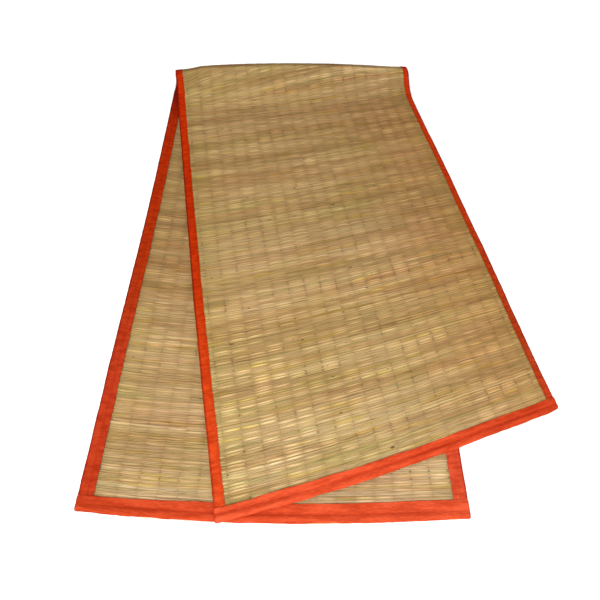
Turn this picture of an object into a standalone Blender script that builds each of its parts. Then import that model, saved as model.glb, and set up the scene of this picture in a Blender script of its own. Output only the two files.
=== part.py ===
"""A woven grass mat with cloth-bound edges, folded once across its middle and lying on a floor.

Metres, +Z up. The fold runs along X at the far side (+Y) and both near ends lie towards -Y.
The lower layer lies flat on z = 0 and the upper layer comes back over it, turned a little
towards +X because the mat was folded slightly askew.

Every piece is worked out from one description of the cloth:
  u    distance across the mat from its middle line, positive towards +X
  row  place along the mat: 0 to 1 lower layer, 1 to 2 fold, 2 to 3 upper layer
  n    distance from the middle of the grass cloth's thickness, positive to the inside of the fold
"""

import math

import bmesh
import bpy
from mathutils import Vector

# The mat laid flat
MAT_WIDTH = 0.610
MAT_LENGTH = 2.129
HALF_WIDTH = MAT_WIDTH / 2
GRASS_HALF = 0.00125
TAPE_THICKNESS = 0.0009
SEAM_GAP = 0.0003
TAPE_STEP = TAPE_THICKNESS + SEAM_GAP

# How the two layers lie, seen from above
STRIP_ANGLE = 0.0977
LOWER_RUN = 1.048
NEAR_END_X = -0.1019
NEAR_END_Y = -0.5250
LOWER_END_BOW = 0.0130
UPPER_END_BOW = 0.0136
UPPER_END_SKEW = 0.130

# The fold: a round loop, a straight slope down and an easing on to the lower layer
LOOP_RADIUS_EDGE = 0.0242
LOOP_RADIUS_RISE = 0.0068
SLOPE_ANGLE = 0.74
EASE_RADIUS = 0.087

# Height of the upper layer over the lower one
RISE_AT_FOLD = 0.0120
RISE_AT_END = 0.0075
ARCH_HEIGHT = 0.0070
RIPPLE_HEIGHT = 0.0010
RIPPLE_LENGTH = 0.31
RIPPLE_WIDTH = 0.47
OVERHANG_DROOP = 0.0060
OVERHANG_REACH = 0.16

# Bindings: how far each tape reaches in from the edge on the face inside and outside the fold
SIDE_REACH = {
    "left": {"inside": 0.0235, "outside": 0.0180},
    "right": {"inside": 0.0230, "outside": 0.0150},
}
END_REACH = {
    "lower": {"inside": 0.0265, "outside": 0.0240},
    "upper": {"inside": 0.0250, "outside": 0.0230},
}
END_OVERHANG = 0.0010
CREASE_RIDGE = 0.00035
CREASE_GROOVE = -0.00025
SIDE_TAPE_START = 0.0042
GRASS_INSET = 0.0025
LAP_WIDTH = 0.0247
LAP_EASE = 0.0120

# How far in from the edges the cloth takes to settle from the tape's height to the floor
SIDE_SETTLE = (0.0240, 0.060)
END_SETTLE = (0.0360, 0.080)

# Steps of the meshes
EDGE_ROWS = (0.0180, 0.0360, 0.0470, 0.0580, 0.0690, 0.0800)
LOWER_STEPS = 4
FOLD_STEPS = 24
UPPER_STEPS = 9
EDGE_COLUMNS = (0.0025, 0.0240, 0.0367, 0.0480, 0.0600)
MIDDLE_COLUMNS = 7
BEND_STEPS = 4
PROBE = 0.0002
SHARP_EDGE_DEGREES = 40

TURN_ANGLE = math.pi + SLOPE_ANGLE
COS_STRIP = math.cos(STRIP_ANGLE)
SIN_STRIP = math.sin(STRIP_ANGLE)


def across(u):
    """1 on the mat's middle line, 0 at its side edges."""
    return 1 - (u / HALF_WIDTH) ** 2


def smooth(value, start, stop):
    """0 before start, 1 after stop, with a soft step between them."""
    part = min(max((value - start) / (stop - start), 0), 1)
    return part * part * (3 - 2 * part)


def blend(first, second, part):
    return first + (second - first) * part


def loop_radius(u):
    return LOOP_RADIUS_EDGE + LOOP_RADIUS_RISE * across(u)


def slope_length(u):
    """Length of the straight slope that brings the cloth down from the loop."""
    loop_height = loop_radius(u) * (1 + math.cos(SLOPE_ANGLE))
    ease_height = EASE_RADIUS * (1 - math.cos(SLOPE_ANGLE))
    return (loop_height - RISE_AT_FOLD - ease_height) / math.sin(SLOPE_ANGLE)


def fold_length(u):
    return loop_radius(u) * TURN_ANGLE + slope_length(u) + EASE_RADIUS * SLOPE_ANGLE


def fold_point(u, travelled):
    """How far past the start of the fold, and how high, the cloth is after that length of it."""
    radius = loop_radius(u)
    loop_angle = min(travelled / radius, TURN_ANGLE)
    forward = radius * math.sin(loop_angle)
    height = radius * (1 - math.cos(loop_angle))
    travelled -= radius * TURN_ANGLE
    if travelled > 0:
        straight = min(travelled, slope_length(u))
        forward += straight * math.cos(TURN_ANGLE)
        height += straight * math.sin(TURN_ANGLE)
        travelled -= slope_length(u)
    if travelled > 0:
        eased = TURN_ANGLE - travelled / EASE_RADIUS
        forward += EASE_RADIUS * (math.sin(TURN_ANGLE) - math.sin(eased))
        height += EASE_RADIUS * (math.cos(eased) - math.cos(TURN_ANGLE))
    return forward, height


def fold_end(u):
    """Where the fold's easing ends, as a distance along Y from the near end."""
    return LOWER_RUN + fold_point(u, fold_length(u))[0]


# The upper layer lies back along the lower one's Y distances, mirrored about this length
TURN_BACK = fold_end(HALF_WIDTH) + LOWER_RUN + fold_length(HALF_WIDTH)
UPPER_RUN = MAT_LENGTH * COS_STRIP - (TURN_BACK - fold_end(HALF_WIDTH))


def strip_length(u, distance):
    """Length along the mat at u of the line that lies at that distance square to the fold."""
    return (distance + u * SIN_STRIP) / COS_STRIP


def lower_end(u):
    return -LOWER_END_BOW * across(u)


def upper_end(u):
    return MAT_LENGTH + UPPER_END_BOW * across(u) - UPPER_END_SKEW * u


def end_distance(row):
    """Distance to the nearer end of the mat."""
    return row * LOWER_RUN if row <= 1 else (3 - row) * UPPER_RUN


def upper_height(length, u, part):
    """Height of the upper layer over the lower one, part of the way from the fold to its end."""
    arch = (4 * part * (1 - part)) ** 2
    ripple = math.sin(math.tau * length / RIPPLE_LENGTH) * math.cos(math.tau * u / RIPPLE_WIDTH)
    return (
        blend(RISE_AT_FOLD, RISE_AT_END, smooth(part, 0, 1))
        + (ARCH_HEIGHT + RIPPLE_HEIGHT * ripple) * arch
    )


def overhang_droop(x, y):
    """How far the upper layer hangs down past the lower layer's right edge."""
    lower_edge = HALF_WIDTH / COS_STRIP + y * SIN_STRIP / COS_STRIP
    return OVERHANG_DROOP * smooth(x - lower_edge, 0, OVERHANG_REACH)


def middle(u, row):
    """The middle of the grass cloth's thickness."""
    settle = 1 - smooth(HALF_WIDTH - abs(u), *SIDE_SETTLE)
    settle += 1 - smooth(end_distance(row), *END_SETTLE)
    height = GRASS_HALF + TAPE_STEP * settle
    if row <= 1:
        length = blend(lower_end(u), strip_length(u, LOWER_RUN), row)
        distance = length * COS_STRIP - u * SIN_STRIP
    elif row <= 2:
        forward, rise = fold_point(u, (row - 1) * fold_length(u))
        distance = LOWER_RUN + forward
        height += rise
        length = strip_length(u, blend(LOWER_RUN, TURN_BACK - fold_end(u), row - 1))
    else:
        start = strip_length(u, TURN_BACK - fold_end(u))
        length = blend(start, upper_end(u), row - 2)
        distance = TURN_BACK - (length * COS_STRIP - u * SIN_STRIP)
        height += upper_height(length, u, row - 2)
    x = u * COS_STRIP + length * SIN_STRIP
    if row > 2:
        height -= overhang_droop(x, distance)
    return Vector((x + NEAR_END_X, distance + NEAR_END_Y, height))


def place(u, row, n):
    """A point at distance n from the middle of the cloth, square to it."""
    width_way = middle(u + PROBE, row) - middle(u - PROBE, row)
    length_way = middle(u, row + PROBE) - middle(u, row - PROBE)
    return middle(u, row) + width_way.cross(length_way).normalized() * n


def rows_from(end_inset):
    """Rows of the mesh from that far inside the lower end to as far inside the upper end."""
    insets = (end_inset,) + EDGE_ROWS
    lower = [inset / LOWER_RUN for inset in insets]
    upper = [3 - inset / UPPER_RUN for inset in insets]
    between = [blend(lower[-1], 1, step / LOWER_STEPS) for step in range(1, LOWER_STEPS + 1)]
    between += [1 + step / FOLD_STEPS for step in range(1, FOLD_STEPS + 1)]
    between += [blend(2, upper[-1], step / UPPER_STEPS) for step in range(1, UPPER_STEPS)]
    return lower + between + upper[::-1]


def columns(outermost=()):
    """Places across the mat, closer together near its side edges."""
    edge = [HALF_WIDTH - inset for inset in outermost + EDGE_COLUMNS]
    inner = edge[-1]
    middle_part = [
        blend(-inner, inner, step / MIDDLE_COLUMNS) for step in range(1, MIDDLE_COLUMNS)
    ]
    return [-u for u in edge] + middle_part + edge[::-1]


def channel(inside_reach, outside_reach, gap, crease_inside=False, crease_outside=False):
    """Section of a tape folded round an edge, as (inset from the edge, n) pairs.

    The outer face comes first and the inner face follows back the other way, so that point i
    and the last point but i lie across the tape's thickness from each other.
    """
    outer_radius = gap + TAPE_THICKNESS

    def leg(reach, crease, sign):
        """The outer face's points from the tape's raw edge to its bend."""
        bumps = (0, CREASE_RIDGE, CREASE_GROOVE, CREASE_RIDGE) if crease else (0,)
        return [
            (blend(reach, outer_radius, step / len(bumps)), sign * (outer_radius + bump))
            for step, bump in enumerate(bumps)
        ]

    def bend(radius):
        angles = [math.pi * step / BEND_STEPS for step in range(BEND_STEPS + 1)]
        return [(outer_radius - radius * math.sin(a), radius * math.cos(a)) for a in angles]

    def flat(points, sign):
        """The inner face's points under the same insets."""
        return [(inset, sign * gap) for inset, _ in points]

    inside = leg(inside_reach, crease_inside, 1)
    outside = leg(outside_reach, crease_outside, -1)[::-1]
    outer_face = inside + bend(outer_radius) + outside
    inner_face = flat(inside, 1) + bend(gap) + flat(outside, -1)
    return outer_face + inner_face[::-1]


def make_material(name, colour, roughness):
    material = bpy.data.materials.new(name)
    material.use_nodes = True
    shader = material.node_tree.nodes["Principled BSDF"]
    shader.inputs["Base Color"].default_value = (*colour, 1)
    shader.inputs["Roughness"].default_value = roughness
    shader.inputs["Metallic"].default_value = 0
    return material


def split_patch(first, second, third, fourth):
    """Two triangles for a patch, cut the same way on every piece so that their gaps stay even."""
    if first.co.x <= second.co.x:
        return (first, second, third), (first, third, fourth)
    return (first, second, fourth), (second, third, fourth)


def sweep(name, sections, material):
    """One closed solid through sections of equal length, with a strip of faces at each end."""
    mesh = bmesh.new()
    rings = [[mesh.verts.new(point) for point in section] for section in sections]
    count = len(rings[0])
    for ring, following in zip(rings, rings[1:]):
        for i in range(count):
            after = (i + 1) % count
            for corners in split_patch(ring[i], ring[after], following[after], following[i]):
                mesh.faces.new(corners)
    for ring in (rings[0], rings[-1]):
        for i in range(count // 2 - 1):
            mesh.faces.new((ring[i], ring[i + 1], ring[count - 2 - i], ring[count - 1 - i]))
    bmesh.ops.recalc_face_normals(mesh, faces=mesh.faces)
    data = bpy.data.meshes.new(name)
    mesh.to_mesh(data)
    mesh.free()
    data.materials.append(material)
    data.shade_smooth()
    data.set_sharp_from_angle(angle=math.radians(SHARP_EDGE_DEGREES))
    piece = bpy.data.objects.new(name, data)
    bpy.context.scene.collection.objects.link(piece)


def make_grass_panel():
    material = make_material("woven grass", (0.50, 0.35, 0.17), 0.75)
    places = columns()
    sections = []
    for row in rows_from(GRASS_INSET):
        top = [place(u, row, GRASS_HALF) for u in places]
        bottom = [place(u, row, -GRASS_HALF) for u in places]
        sections.append(top + bottom[::-1])
    sweep("grass_panel", sections, material)


def make_side_binding(side, sign):
    material = make_material(f"binding {side}", (0.62, 0.045, 0.012), 0.8)
    reach = SIDE_REACH[side]
    section = channel(reach["inside"], reach["outside"], GRASS_HALF + SEAM_GAP)
    sections = [
        [place(sign * (HALF_WIDTH - inset), row, n) for inset, n in section]
        for row in rows_from(SIDE_TAPE_START)
    ]
    sweep(f"binding_{side}", sections, material)


def end_gap(inset):
    """Half the space inside an end tape, at a distance in from the mat's side edge."""
    over_grass = GRASS_HALF + SEAM_GAP
    over_side_tape = over_grass + TAPE_STEP
    lapped = 1 - smooth(inset, LAP_WIDTH, LAP_WIDTH + LAP_EASE)
    return blend(over_grass, over_side_tape, lapped)


def make_end_binding(layer):
    material = make_material(f"binding end {layer}", (0.66, 0.055, 0.014), 0.8)
    reach = END_REACH[layer]
    sections = []
    for u in columns((-END_OVERHANG,)):
        section = channel(
            reach["inside"],
            reach["outside"],
            end_gap(HALF_WIDTH - abs(u)),
            crease_inside=layer == "lower",
            crease_outside=layer == "upper",
        )
        if layer == "lower":
            sections.append([place(u, inset / LOWER_RUN, n) for inset, n in section])
        else:
            sections.append([place(u, 3 - inset / UPPER_RUN, n) for inset, n in section])
    sweep(f"binding_end_{layer}", sections, material)


def main():
    for leftover in list(bpy.data.objects):
        bpy.data.objects.remove(leftover, do_unlink=True)
    make_grass_panel()
    make_side_binding("left", -1)
    make_side_binding("right", 1)
    make_end_binding("lower")
    make_end_binding("upper")


main()
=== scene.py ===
"""A woven grass mat with cloth-bound edges, folded once and lying on a pale floor.

The mat is woven and bound flat first, and is folded afterwards. A point of the flat mat is
  u    distance across the mat from its middle line
  s    distance along the mat from its lower end to its upper end
  n    distance from the middle of the cloth's thickness, positive to the inside of the fold
and lay() gives its place in the folded mat, in metres, +Z up.
"""

import math

import bmesh
import bpy
import numpy as np
from mathutils import Matrix, Vector


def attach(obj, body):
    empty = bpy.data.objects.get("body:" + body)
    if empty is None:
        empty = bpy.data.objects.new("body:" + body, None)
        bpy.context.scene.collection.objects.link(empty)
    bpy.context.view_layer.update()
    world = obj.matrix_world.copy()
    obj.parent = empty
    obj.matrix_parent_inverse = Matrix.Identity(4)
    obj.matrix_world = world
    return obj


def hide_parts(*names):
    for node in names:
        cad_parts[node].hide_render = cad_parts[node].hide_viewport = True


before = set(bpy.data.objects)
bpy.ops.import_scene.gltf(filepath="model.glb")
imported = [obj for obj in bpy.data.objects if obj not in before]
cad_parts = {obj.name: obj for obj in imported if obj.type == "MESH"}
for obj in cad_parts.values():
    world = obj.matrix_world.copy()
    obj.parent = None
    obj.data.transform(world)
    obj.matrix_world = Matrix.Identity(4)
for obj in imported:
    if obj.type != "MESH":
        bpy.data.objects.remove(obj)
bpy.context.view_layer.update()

# The mat laid flat
MAT_WIDTH = 0.610
MAT_LENGTH = 2.129
HALF_WIDTH = MAT_WIDTH / 2
GRASS_HALF = 0.00125
TAPE_THICKNESS = 0.0009
SEAM_GAP = 0.0003
TAPE_STEP = TAPE_THICKNESS + SEAM_GAP

# How the two layers lie, seen from above
STRIP_ANGLE = 0.0977
LOWER_RUN = 1.048
NEAR_END_X = -0.1019
NEAR_END_Y = -0.5250
LOWER_END_BOW = 0.0130
UPPER_END_BOW = 0.0136
UPPER_END_SKEW = 0.130
LOWER_CORNER_FLARE = 0.0022
UPPER_CORNER_FLARE = 0.0055
LOWER_LEFT_BOW = 0.0035
UPPER_LEFT_BOW = 0.0049
UPPER_RIGHT_BOW = 0.0036

# The fold: a round loop, a straight slope down and an easing on to the lower layer
LOOP_RADIUS_EDGE = 0.0242
LOOP_RADIUS_RISE = 0.0058
LEFT_SAG = 0.0042
LEFT_SAG_REACH = 0.085
SLOPE_ANGLE = 0.74
EASE_RADIUS = 0.087

# Height of the upper layer over the lower one
RISE_AT_FOLD = 0.0120
RISE_AT_END = 0.0075
ARCH_HEIGHT = 0.0070
RIPPLE_HEIGHT = 0.0010
RIPPLE_LENGTH = 0.31
RIPPLE_WIDTH = 0.47
OVERHANG_DROOP = 0.0060
OVERHANG_REACH = 0.16

# How far in from the edges the cloth takes to settle from the tape's height to the floor
SIDE_SETTLE = (0.0240, 0.060)
END_SETTLE = (0.0360, 0.080)

# Half the step over which the cloth's two directions are measured at a place
PROBE = 0.0002

# Bindings: how far each tape reaches in from the edge on the face inside and outside the fold
SIDE_REACH = {"left": (0.0250, 0.0178), "right": (0.0245, 0.0150)}
END_REACH = {"lower": (0.0265, 0.0240), "upper": (0.0250, 0.0230)}
LOWER_TAPE_WIDER = 0.0022
LOWER_TAPE_NARROWER = 0.0045
UPPER_TAPE_NARROWER = 0.0028
END_OVERHANG = 0.0001
SIDE_TAPE_START = 0.0042
SIDE_TAPE_STEPS = 887
LAP_WIDTH = 0.0262
LAP_EASE = 0.0120

# The weave: rows of three blades across the mat, warps along it, and a thin ground between
ROWS = 387
ROW_PITCH = MAT_LENGTH / ROWS
BLADES_IN_ROW = 3
WARP_SPACING = 0.031
WARPS = 19
STRAND_STEPS = 58
STRAND_HALF = WARP_SPACING / 3 * STRAND_STEPS / 2
BLADE_SPREAD = 0.00180
PINCH = 0.08
WEAVE_HEIGHT = 0.00028
WEFT_THICKNESS = 0.00102
BLADE_THICKNESS_SPAN = (0.66, 1.20)
BLADE_SWELL = 0.55
OUTER_BLADE_THINNER = 0.08
WEFT_WAVER = 0.0015
WEFT_LIFT = 0.0005
SLACK = 0.0042
SLACK_BALANCE = 0.42
WARP_THICKNESS = 0.00026
WARP_SWELL = 0.25
WARP_WAVER = 0.0009
WARP_LIFT = 0.00078
GROUND_INSET = 0.0040
GROUND_HALF = 0.0002
PRESSED_PAST_FOLD = 0.006

# The four lengths that the rows of grass are made in, with the rows where each starts and stops
WEFT_LENGTHS = (
    ("weft_lower_near", 0, 97),
    ("weft_lower_far", 97, 194),
    ("weft_upper_far", 194, 290),
    ("weft_upper_near", 290, ROWS),
)

# Where the cloth turns over at the top of the fold, as a length past the start of the loop, and
# the distances from that line between which its painted shade fades
CREST_START = 0.0343
CREST_PER_RADIUS = 1.13
CREST_FADE = (0.011, 0.021)

# Sewing, and the shape of the tapes' cut edges and corners
SEAM_INSET = {"left": 0.0150, "right": 0.0122, "lower": 0.0112, "upper": 0.0108}
STITCH_LINES = {
    "side": {
        "left": -HALF_WIDTH + SEAM_INSET["left"],
        "right": HALF_WIDTH - SEAM_INSET["right"],
    },
    "end": {
        "end_lower": SEAM_INSET["lower"],
        "end_upper": MAT_LENGTH - SEAM_INSET["upper"],
    },
}
STITCH_PITCH = 0.0042
STITCH_HALF = 0.0015
STITCH_THICKNESS = 0.00021
STITCH_HEIGHT = GRASS_HALF + SEAM_GAP + TAPE_THICKNESS - 0.00020
STITCH_SUNK = 0.0004
STITCH_JITTER = 0.0003
STITCH_DRIFT = 0.0002
STITCH_START = {"side": 0.009, "end": 0.005 - HALF_WIDTH}
STITCH_RUN = {"side": MAT_LENGTH - 0.016, "end": MAT_WIDTH - 0.008}
TIP_ROUND = 0.0035
RAW_EDGE_STEPS = (0.0, 0.00015, 0.0005)
RAW_EDGE_FULLNESS = (0.5, 0.85, 1.0)
CLOTH_THREAD = 0.0011

# How far the cut and the folded edges of the tapes waver, in long waves and in short ones
CUT_EDGE_WAVES = {"side": (0.0005, 0.0003), "end": (0.0006, 0.0003)}
FOLDED_EDGE_WAVES = {"side": (0.0003, 0.00015), "end": (0.0007, 0.0002)}
SEAM_WANDER = 0.0010

# Depth of the seams, the ridges beside an end tape's seam (how far off, how wide), and the
# puckers of the sewn cloth (height, length, width, and how far in they shift by one length)
SIDE_SEAM_DEPTH = 0.00022
END_SEAM_DEPTH = 0.00055
END_RIDGE_HEIGHT = 0.00042
END_RIDGES = ((-0.0056, 0.0030), (0.0066, 0.0040))
PUCKERS = (
    (0.00020, 0.0060, 0.0050, math.inf),
    (0.00012, 0.0031, 0.0034, math.inf),
    (0.00014, 0.013, 0.012, 0.02),
)

# Seeds of all that is random
WARP_SEED = 5
WEFT_SEED = 7
STITCH_SEED = 30
TAPE_SEEDS = {"left": 20, "right": 60, "lower": 100, "upper": 140}

TURN_ANGLE = math.pi + SLOPE_ANGLE
COS_STRIP = math.cos(STRIP_ANGLE)
SIN_STRIP = math.sin(STRIP_ANGLE)

# How a line square to the fold runs on the flat mat, where the skew of the upper end's cut is
# taken up along the whole length, so that about half of it lies at the fold
FOLD_SKEW = SIN_STRIP + 0.51 * COS_STRIP * UPPER_END_SKEW


def across(u):
    """1 on the mat's middle line, 0 at its side edges."""
    return 1 - (u / HALF_WIDTH) ** 2


def smooth(value, start, stop):
    """0 before start, 1 after stop, with a soft step between them."""
    part = np.clip((value - start) / (stop - start), 0, 1)
    return part * part * (3 - 2 * part)


def blend(first, second, part):
    return first + (second - first) * part


def loop_radius(u):
    """Radius of the fold's loop, which sags a little at its left edge."""
    sag = LEFT_SAG * smooth(-u, HALF_WIDTH - LEFT_SAG_REACH, HALF_WIDTH)
    return LOOP_RADIUS_EDGE + LOOP_RADIUS_RISE * across(u) - sag


def slope_length(u):
    """Length of the straight slope that brings the cloth down from the loop."""
    loop_height = loop_radius(u) * (1 + math.cos(SLOPE_ANGLE))
    ease_height = EASE_RADIUS * (1 - math.cos(SLOPE_ANGLE))
    return (loop_height - RISE_AT_FOLD - ease_height) / math.sin(SLOPE_ANGLE)


def fold_length(u):
    return loop_radius(u) * TURN_ANGLE + slope_length(u) + EASE_RADIUS * SLOPE_ANGLE


def fold_point(u, travelled):
    """How far past the start of the fold, and how high, the cloth is after that length of it."""
    radius = loop_radius(u)
    loop_angle = np.minimum(travelled / radius, TURN_ANGLE)
    past_loop = travelled - radius * TURN_ANGLE
    straight = np.clip(past_loop, 0, slope_length(u))
    eased = TURN_ANGLE - np.maximum(past_loop - slope_length(u), 0) / EASE_RADIUS
    forward = (
        radius * np.sin(loop_angle)
        + straight * math.cos(TURN_ANGLE)
        + EASE_RADIUS * (math.sin(TURN_ANGLE) - np.sin(eased))
    )
    height = (
        radius * (1 - np.cos(loop_angle))
        + straight * math.sin(TURN_ANGLE)
        + EASE_RADIUS * (np.cos(eased) - math.cos(TURN_ANGLE))
    )
    return forward, height


def fold_end(u):
    """Where the fold's easing ends, as a distance along Y from the near end."""
    return LOWER_RUN + fold_point(u, fold_length(u))[0]


# The upper layer lies back along the lower one's Y distances, mirrored about this length
TURN_BACK = fold_end(HALF_WIDTH) + LOWER_RUN + fold_length(HALF_WIDTH)
UPPER_RUN = MAT_LENGTH * COS_STRIP - (TURN_BACK - fold_end(HALF_WIDTH))


def strip_length(u, distance):
    """Length along the mat at u of the line that lies at that distance square to the fold."""
    return (distance + u * SIN_STRIP) / COS_STRIP


def lower_end(u):
    return -LOWER_END_BOW * across(u) - LOWER_CORNER_FLARE * smooth(u, 0.20, 0.32)


def upper_end(u):
    skewed = MAT_LENGTH + UPPER_END_BOW * across(u) - UPPER_END_SKEW * u
    return skewed + UPPER_CORNER_FLARE * smooth(u, 0.13, 0.33)


def side_bow(u, row):
    """How far across the long edges stray from straight lines, as the mat lies."""
    left, right = smooth(-u, 0, HALF_WIDTH), smooth(u, 0, HALF_WIDTH)
    lower = np.clip((row - 0.2) / 0.8, 0, 1)
    on_lower = LOWER_LEFT_BOW * (4 * lower * (1 - lower)) ** 2
    on_upper = UPPER_LEFT_BOW * smooth(row, 1.35, 2.20) * (1 - smooth(row, 2.55, 3.1))
    return left * (on_lower - on_upper) + right * UPPER_RIGHT_BOW * smooth(row, 2.4, 3.0)


def upper_height(length, u, part):
    """Height of the upper layer over the lower one, part of the way from the fold to its end."""
    arch = (4 * part * (1 - part)) ** 2
    ripple = np.sin(math.tau * length / RIPPLE_LENGTH) * np.cos(math.tau * u / RIPPLE_WIDTH)
    return (
        blend(RISE_AT_FOLD, RISE_AT_END, smooth(part, 0, 1))
        + (ARCH_HEIGHT + RIPPLE_HEIGHT * ripple) * arch
    )


def overhang_droop(x, y):
    """How far the upper layer hangs down past the lower layer's right edge."""
    lower_edge = HALF_WIDTH / COS_STRIP + y * SIN_STRIP / COS_STRIP
    return OVERHANG_DROOP * smooth(x - lower_edge, 0, OVERHANG_REACH)


def middle(u, row):
    """The middle of the cloth. Rows 0 to 1 are the lower layer, 1 to 2 the fold, 2 to 3 the upper."""
    on_lower, on_upper = row <= 1, row > 2
    end_distance = np.where(on_lower, row * LOWER_RUN, (3 - row) * UPPER_RUN)
    settle = 2 - smooth(HALF_WIDTH - np.abs(u), *SIDE_SETTLE) - smooth(end_distance, *END_SETTLE)
    fold_part, upper_part = np.clip(row - 1, 0, 1), np.maximum(row - 2, 0)
    turned = TURN_BACK - fold_end(u)
    forward, rise = fold_point(u, fold_part * fold_length(u))
    length = np.where(
        on_lower,
        blend(lower_end(u), strip_length(u, LOWER_RUN), row),
        np.where(
            on_upper,
            blend(strip_length(u, turned), upper_end(u), upper_part),
            strip_length(u, blend(LOWER_RUN, turned, fold_part)),
        ),
    )
    walked = length * COS_STRIP - u * SIN_STRIP
    distance = np.where(on_lower, walked, np.where(on_upper, TURN_BACK - walked, LOWER_RUN + forward))
    x = u * COS_STRIP + length * SIN_STRIP
    lifted = upper_height(length, u, upper_part) - overhang_droop(x, distance)
    height = (
        GRASS_HALF
        + TAPE_STEP * settle
        + np.where(on_lower, 0, np.where(on_upper, lifted, rise))
    )
    return np.stack([x + NEAR_END_X + side_bow(u, row), distance + NEAR_END_Y, height], axis=-1)


def lay(points):
    """Places in the folded mat of points (u, s, n) of the flat mat."""
    u, s, n = np.asarray(points, float).T
    length = blend(lower_end(u), upper_end(u), s / MAT_LENGTH)
    walked = length * COS_STRIP - u * SIN_STRIP
    turned = TURN_BACK - fold_end(u)
    fold_start, fold_stop = strip_length(u, LOWER_RUN), strip_length(u, turned)
    row = np.where(
        walked <= LOWER_RUN,
        (length - lower_end(u)) / (fold_start - lower_end(u)),
        np.where(
            walked <= turned,
            1 + (walked - LOWER_RUN) / (turned - LOWER_RUN),
            2 + (length - fold_stop) / (upper_end(u) - fold_stop),
        ),
    )
    width_way = middle(u + PROBE, row) - middle(u - PROBE, row)
    length_way = middle(u, row + PROBE) - middle(u, row - PROBE)
    square = np.cross(width_way, length_way)
    square /= np.linalg.norm(square, axis=1, keepdims=True)
    return middle(u, row) + square * n[:, None]


def soft_noise(x, y, seed):
    """Smooth random heights from -1 to 1 over a plane, about one bump to a unit each way."""
    table = np.random.default_rng(seed).uniform(-1, 1, (512, 512))
    column, line = np.floor(x).astype(int), np.floor(y).astype(int)
    right, up = smooth(x - column, 0, 1), smooth(y - line, 0, 1)
    low = blend(table[column % 512, line % 512], table[(column + 1) % 512, line % 512], right)
    high = blend(table[column % 512, (line + 1) % 512], table[(column + 1) % 512, (line + 1) % 512], right)
    return blend(low, high, up)


# Node trees

def put(tree, kind, inputs=None, **settings):
    """Adds a node with its settings, and links or fills the inputs given by name or number."""
    node = tree.nodes.new(kind)
    for name, value in settings.items():
        setattr(node, name, value)
    for key, value in (inputs or {}).items():
        if isinstance(value, bpy.types.NodeSocket):
            tree.links.new(value, node.inputs[key])
        else:
            node.inputs[key].default_value = value
    return node


def calc(tree, operation, *values, clamp=False):
    """The result of a Math node."""
    inputs = dict(enumerate(values))
    return put(tree, "ShaderNodeMath", inputs, operation=operation, use_clamp=clamp).outputs[0]


def plus(tree, first, second, clamp=False):
    return calc(tree, "ADD", first, second, clamp=clamp)


def minus(tree, first, second):
    return calc(tree, "SUBTRACT", first, second)


def times(tree, first, second):
    return calc(tree, "MULTIPLY", first, second)


def ratio(tree, first, second):
    return calc(tree, "DIVIDE", first, second)


def vector(tree, x, y, z):
    return put(tree, "ShaderNodeCombineXYZ", {0: x, 1: y, 2: z}).outputs[0]


def new_tree(name, kind, inputs, outputs):
    """An empty node group with named inputs and outputs, and its input and output nodes."""
    tree = bpy.data.node_groups.new(name, kind)
    for label, socket_type, default in inputs:
        socket = tree.interface.new_socket(name=label, in_out="INPUT", socket_type=socket_type)
        if default is not None:
            socket.default_value = default
    for label, socket_type in outputs:
        tree.interface.new_socket(name=label, in_out="OUTPUT", socket_type=socket_type)
    return tree, tree.nodes.new("NodeGroupInput").outputs, tree.nodes.new("NodeGroupOutput").inputs


def grown(tree, values):
    """The plain mesh that a Geometry Nodes tree makes with these values of its inputs."""
    carrier = bpy.data.objects.new(tree.name, bpy.data.meshes.new(tree.name))
    bpy.context.scene.collection.objects.link(carrier)
    modifier = carrier.modifiers.new(tree.name, "NODES")
    modifier.node_group = tree
    for item in tree.interface.items_tree:
        if item.in_out == "INPUT" and item.name in values:
            modifier[item.identifier] = values[item.name]
    graph = bpy.context.evaluated_depsgraph_get()
    mesh = bpy.data.meshes.new_from_object(
        carrier.evaluated_get(graph), preserve_all_data_layers=True, depsgraph=graph
    )
    bpy.data.objects.remove(carrier)
    return mesh


def points_of(mesh):
    found = np.zeros(len(mesh.vertices) * 3, np.float32)
    mesh.vertices.foreach_get("co", found)
    return found.reshape(-1, 3).astype(float)


def store(mesh, name, values):
    """Keeps a number or a vector at each point of a mesh."""
    kind, key = ("FLOAT", "value") if np.ndim(values) == 1 else ("FLOAT_VECTOR", "vector")
    attribute = mesh.attributes.new(name, kind, "POINT")
    attribute.data.foreach_set(key, np.asarray(values, np.float32).ravel())


def show(name, mesh):
    """Makes a mesh a piece of the mat."""
    mesh.name = name
    piece = bpy.data.objects.new(name, mesh)
    bpy.context.scene.collection.objects.link(piece)
    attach(piece, "root")
    return piece


def fold_up(mesh):
    """Folds a mesh that was made on the flat mat, and keeps its flat place for the materials."""
    flat = points_of(mesh)
    store(mesh, "flat", flat)
    mesh.vertices.foreach_set("co", lay(flat).astype(np.float32).ravel())
    mesh.update()


# The grass and the warps

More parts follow.
